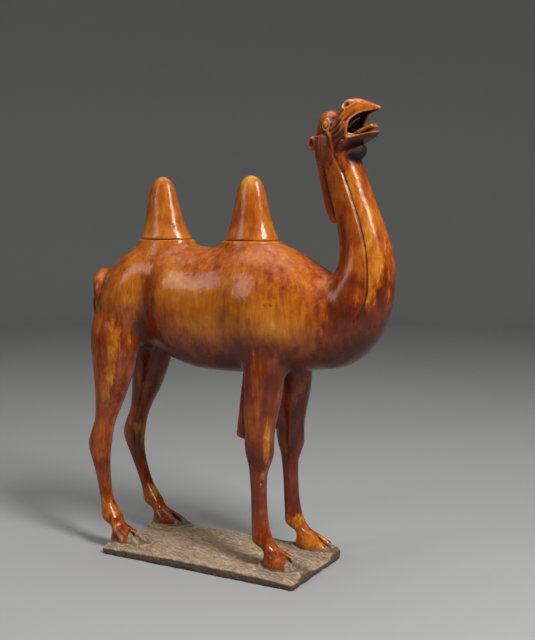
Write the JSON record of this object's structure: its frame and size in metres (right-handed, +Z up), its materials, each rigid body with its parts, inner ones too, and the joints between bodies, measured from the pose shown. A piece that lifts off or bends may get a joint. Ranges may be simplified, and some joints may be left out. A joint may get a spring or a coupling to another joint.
{
  "type": "camel figure",
  "caption": "Standing Bactrian camel in amber-glazed earthenware, head raised and mouth open, loose humps on raised seats, feet on a flat unglazed clay slab.",
  "frame": {"origin": "centre of the clay slab's underside", "axes": "+X towards the camel's head, +Y towards its left, +Z up"},
  "size_m": [0.6594, 0.2231, 0.87],
  "materials": {
    "amber_glaze": "glossy streaked amber and brown glaze over earthenware",
    "bare_clay": "matt unglazed buff clay with earth deposits"
  },
  "bodies": {
    "root": {"camel_body": "amber_glaze", "front_hump": "amber_glaze", "rear_hump": "amber_glaze", "base_slab": "bare_clay"}
  },
  "joints": []
}
